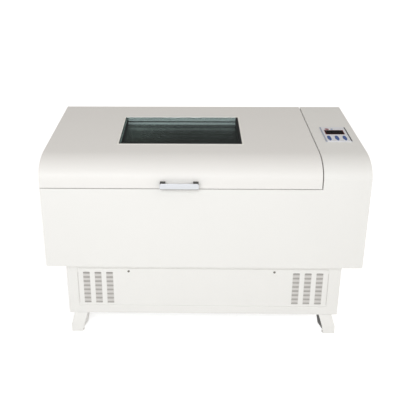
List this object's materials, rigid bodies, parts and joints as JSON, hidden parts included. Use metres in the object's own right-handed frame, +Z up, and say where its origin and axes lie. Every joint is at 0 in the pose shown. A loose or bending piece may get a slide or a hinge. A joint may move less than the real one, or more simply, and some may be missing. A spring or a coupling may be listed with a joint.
{
  "type": "incubated shaker",
  "caption": "Floor-standing incubated shaker with a rounded lift-up lid, a glazed window, a handle, a control console, a shaking platform on eccentric cranks and a slotted base",
  "frame": {"origin": "centre of the bounding box's bottom face, on the floor", "axes": "+X to the console side, +Y from the front to the back, +Z up; the length lies on X"},
  "size_m": [1.22, 0.7402, 0.7405],
  "materials": {
    "cabinet_paint": "light grey-white powder coat",
    "lid_paint": "light grey-white powder coat",
    "stainless": "brushed stainless steel",
    "chrome": "bright plated",
    "dark_plastic": "moulded",
    "black_plastic": "smooth",
    "pale_plastic": "fine texture",
    "trim_plastic": "satin",
    "key_plastic": "satin",
    "rubber": "soft",
    "cast_iron": "painted",
    "machined_steel": "machined",
    "aluminium": "cast or pressed",
    "compressor_paint": "black enamel",
    "foam": "rigid foam",
    "circuit_board": "solder mask",
    "window_glass": "tinted"
  },
  "bodies": {
    "cabinet": {"cabinet_shell": "cabinet_paint", "bottom_pan": "cabinet_paint", "rear_panel": "cabinet_paint", "insulation_tub": "foam", "chamber_liner": "stainless", "mouth_gasket": "rubber", "rear_baffle": "stainless", "evaporator_coil": "aluminium", "heater_element": "stainless", "chamber_fan_motor": "cast_iron", "drive_frame": "cast_iron", "drive_motor": "cast_iron", "drive_belt": "rubber", "base_cabinet": "cabinet_paint", "front_access_panel": "cabinet_paint", "rear_service_grille": "cabinet_paint", "compressor": "compressor_paint", "condenser_coil": "aluminium", "condenser_fan_motor": "cast_iron", "foot_front_left": "cabinet_paint", "foot_front_right": "cabinet_paint", "foot_rear_left": "cabinet_paint", "foot_rear_right": "cabinet_paint", "control_bezel": "pale_plastic", "display_window": "black_plastic", "control_board": "circuit_board", "power_inlet": "black_plastic", "hinge_body_leaf_left": "stainless", "hinge_body_leaf_right": "stainless", "hinge_pin_left": "machined_steel", "hinge_pin_right": "machined_steel"},
    "lid": {"lid_shell": "lid_paint", "lid_liner": "stainless", "window_frame": "trim_plastic", "window_glass_outer": "window_glass", "window_glass_inner": "window_glass", "lid_handle_bar": "chrome", "handle_post_left": "dark_plastic", "handle_post_right": "dark_plastic", "hinge_lid_leaf_left": "stainless", "hinge_lid_leaf_right": "stainless", "stay_track_left": "stainless", "stay_track_right": "stainless"},
    "left_stay": {"stay_arm_left": "stainless"},
    "right_stay": {"stay_arm_right": "stainless"},
    "crank": {"drive_crank": "machined_steel", "driven_pulley": "aluminium"},
    "left_idler": {"idler_crank_left": "machined_steel"},
    "right_idler": {"idler_crank_right": "machined_steel"},
    "motor_wheel": {"motor_pulley": "aluminium"},
    "platform": {"platform_carriage": "aluminium", "platform_tray": "stainless", "clamp_row_front": "stainless", "clamp_row_rear": "stainless"},
    "air_fan": {"chamber_fan": "aluminium"},
    "cooling_fan": {"condenser_fan": "aluminium"},
    "rocker": {"power_rocker": "black_plastic"},
    "key_1": {"panel_key_1": "key_plastic"},
    "key_2": {"panel_key_2": "key_plastic"},
    "key_3": {"panel_key_3": "key_plastic"}
  },
  "joints": [
    {"name": "lid_open", "type": "hinge", "parent": "cabinet", "child": "lid", "pos_m": [0, 0.36415, 0.637], "axis": [-1, 0, 0], "range_deg": [0, 70]},
    {"name": "stay_left_turn", "type": "hinge", "parent": "cabinet", "child": "left_stay", "pos_m": [-0.529, 0.25485, 0.614], "axis": [-1, 0, 0], "range_deg": [0, 105]},
    {"name": "stay_right_turn", "type": "hinge", "parent": "cabinet", "child": "right_stay", "pos_m": [0.353, 0.25485, 0.614], "axis": [-1, 0, 0], "range_deg": [0, 105]},
    {"name": "drive_spin", "type": "hinge", "parent": "cabinet", "child": "crank", "pos_m": [-0.08775, 0.08285, 0.304], "axis": [0, 0, 1], "continuous": true},
    {"name": "platform_turn", "type": "hinge", "parent": "crank", "child": "platform", "pos_m": [-0.07475, 0.08285, 0.404], "axis": [0, 0, 1], "continuous": true},
    {"name": "idler_left_spin", "type": "hinge", "parent": "cabinet", "child": "left_idler", "pos_m": [-0.33775, -0.13715, 0.304], "axis": [0, 0, 1], "continuous": true},
    {"name": "idler_right_spin", "type": "hinge", "parent": "cabinet", "child": "right_idler", "pos_m": [0.16225, -0.13715, 0.304], "axis": [0, 0, 1], "continuous": true},
    {"name": "motor_spin", "type": "hinge", "parent": "cabinet", "child": "motor_wheel", "pos_m": [0.14225, 0.08285, 0.234], "axis": [0, 0, 1], "continuous": true},
    {"name": "air_fan_spin", "type": "hinge", "parent": "cabinet", "child": "air_fan", "pos_m": [-0.08775, 0.23285, 0.498], "axis": [0, 1, 0], "continuous": true},
    {"name": "cooling_fan_spin", "type": "hinge", "parent": "cabinet", "child": "cooling_fan", "pos_m": [-0.379, -0.21815, 0.1775], "axis": [0, 1, 0], "continuous": true},
    {"name": "rocker_tilt", "type": "hinge", "parent": "cabinet", "child": "rocker", "pos_m": [0.52225, 0.36115, 0.433], "axis": [-1, 0, 0], "range_deg": [0, 16]},
    {"name": "key_1_press", "type": "slide", "parent": "cabinet", "child": "key_1", "axis": [0, 0, -1], "range_m": [0, 0.0006], "stiffness_N_per_m": 400},
    {"name": "key_2_press", "type": "slide", "parent": "cabinet", "child": "key_2", "axis": [0, 0, -1], "range_m": [0, 0.0006], "stiffness_N_per_m": 400},
    {"name": "key_3_press", "type": "slide", "parent": "cabinet", "child": "key_3", "axis": [0, 0, -1], "range_m": [0, 0.0006], "stiffness_N_per_m": 400}
  ],
  "couplings": [
    {"joint": "stay_left_turn", "follows": "lid_open", "ratio": 1.5},
    {"joint": "stay_right_turn", "follows": "lid_open", "ratio": 1.5},
    {"joint": "platform_turn", "follows": "drive_spin", "ratio": -1},
    {"joint": "idler_left_spin", "follows": "drive_spin", "ratio": 1},
    {"joint": "idler_right_spin", "follows": "drive_spin", "ratio": 1},
    {"joint": "motor_spin", "follows": "drive_spin", "ratio": 2.6667}
  ]
}
